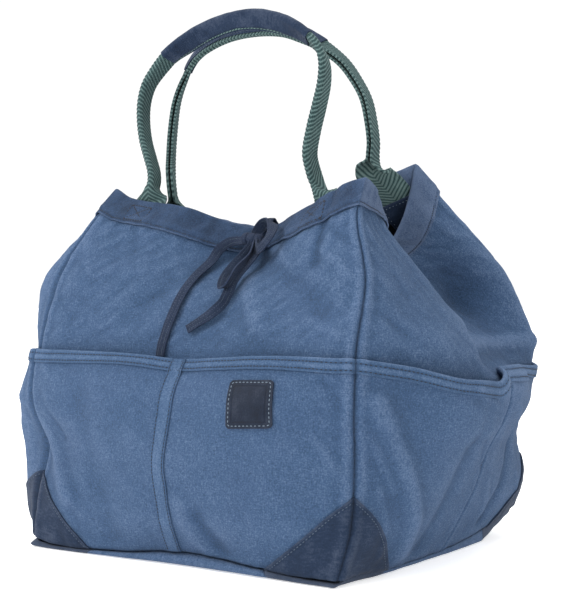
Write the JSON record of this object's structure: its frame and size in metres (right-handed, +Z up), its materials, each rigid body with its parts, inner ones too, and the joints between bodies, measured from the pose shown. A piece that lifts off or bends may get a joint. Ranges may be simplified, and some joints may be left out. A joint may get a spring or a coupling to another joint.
{
  "type": "tote bag",
  "caption": "Square-based washed canvas tote with patch pockets all round, suede corners, a stitched top band, a cloth tie in a bow and folded webbing handles with suede grips.",
  "frame": {"origin": "centre of the base's flat underside, on the surface that the bag stands on", "axes": "+Z up, the front with the tie faces -Y, +X to the right seen from the front"},
  "size_m": [0.5149, 0.4106, 0.5438],
  "materials": {
    "canvas": "washed, faded plain-weave cotton canvas",
    "binding": "washed canvas, folded and stitched, faded at its edges",
    "suede": "napped suede, matt",
    "webbing": "heavy cotton herringbone webbing",
    "leather": "waxed leather, low sheen",
    "tie_cloth": "dark canvas tape with pale stitching"
  },
  "bodies": {
    "root": {"frontLeft_base_patch": "suede", "frontRight_base_patch": "suede", "backRight_base_patch": "suede", "backLeft_base_patch": "suede", "base_panel": "canvas", "front_panel": "canvas", "front_pocket": "canvas", "front_binding": "binding", "front_left_patch": "suede", "front_right_patch": "suede", "right_panel": "canvas", "right_pocket": "canvas", "right_binding": "binding", "right_left_patch": "suede", "right_right_patch": "suede", "back_panel": "canvas", "back_pocket": "canvas", "back_binding": "binding", "back_left_patch": "suede", "back_right_patch": "suede", "left_panel": "canvas", "left_pocket": "canvas", "left_binding": "binding", "left_left_patch": "suede", "left_right_patch": "suede", "front_divider": "binding", "back_divider": "binding", "label": "leather", "top_band": "canvas", "front_strap": "webbing", "front_grip": "suede", "front_left_tab": "suede", "front_right_tab": "suede", "back_strap": "webbing", "back_grip": "suede", "back_left_tab": "suede", "back_right_tab": "suede", "tie": "tie_cloth"}
  },
  "joints": []
}
